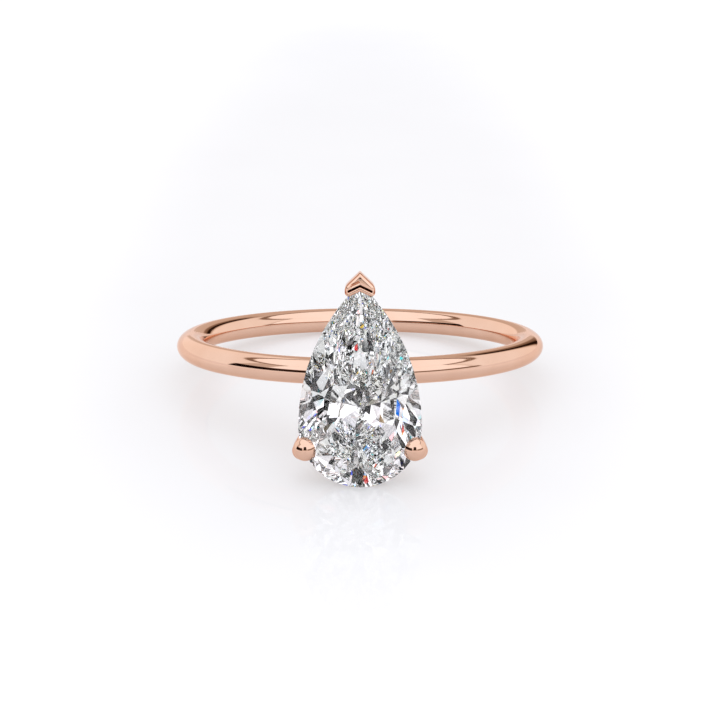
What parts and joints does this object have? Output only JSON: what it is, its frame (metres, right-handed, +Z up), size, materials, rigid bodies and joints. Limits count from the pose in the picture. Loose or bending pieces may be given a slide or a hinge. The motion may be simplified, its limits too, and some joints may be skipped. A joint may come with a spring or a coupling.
{
  "type": "engagement ring",
  "caption": "Solitaire engagement ring with a pear-cut diamond in a pronged basket head on a thin round-wire band, lying on its side.",
  "frame": {"origin": "on the table, under the middle of the ring's bounding box", "axes": "+Z up from the table; the stone's table faces -Y, tipped slightly upwards; the back of the band is on the +Y side; +X is to the right when looking at the stone"},
  "size_m": [0.0196, 0.0252, 0.0103],
  "materials": {
    "rose_gold": "mirror polish",
    "diamond": "polished facets"
  },
  "bodies": {
    "root": {"shank": "rose_gold", "head_pin": "rose_gold", "head_base": "rose_gold", "lower_gallery_rail": "rose_gold", "upper_gallery_rail": "rose_gold", "v_prong": "rose_gold", "claw_prong_left": "rose_gold", "claw_prong_right": "rose_gold", "pear_diamond": "diamond"}
  },
  "joints": []
}
